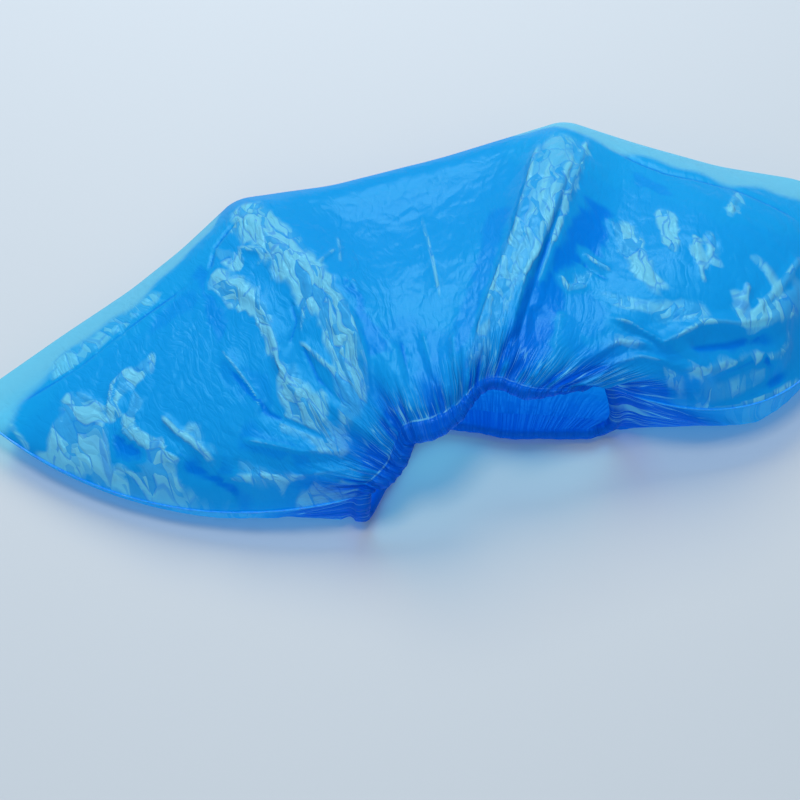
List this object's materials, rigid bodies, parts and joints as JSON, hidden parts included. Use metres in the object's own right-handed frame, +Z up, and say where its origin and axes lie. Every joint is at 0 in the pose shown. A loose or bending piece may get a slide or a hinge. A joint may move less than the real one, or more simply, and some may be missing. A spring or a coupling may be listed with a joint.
{
  "type": "disposable shoe cover",
  "caption": "Thin film overshoe lying on its side, a puffed bag with welded ends and a gathered elastic mouth that a shoe goes in through.",
  "frame": {"origin": "on the table, under the middle of the cover's box", "axes": "+X from the toe end to the heel end, +Y from the mouth to the sole fold, +Z up from the table"},
  "size_m": [0.344, 0.176, 0.0455],
  "materials": {
    "blue_film": "glossy crinkled film",
    "elastic": "matt",
    "weld": "melted edge"
  },
  "bodies": {
    "root": {"film_bag": "blue_film", "elastic_band": "elastic", "toe_weld": "weld", "heel_weld": "weld"}
  },
  "joints": []
}
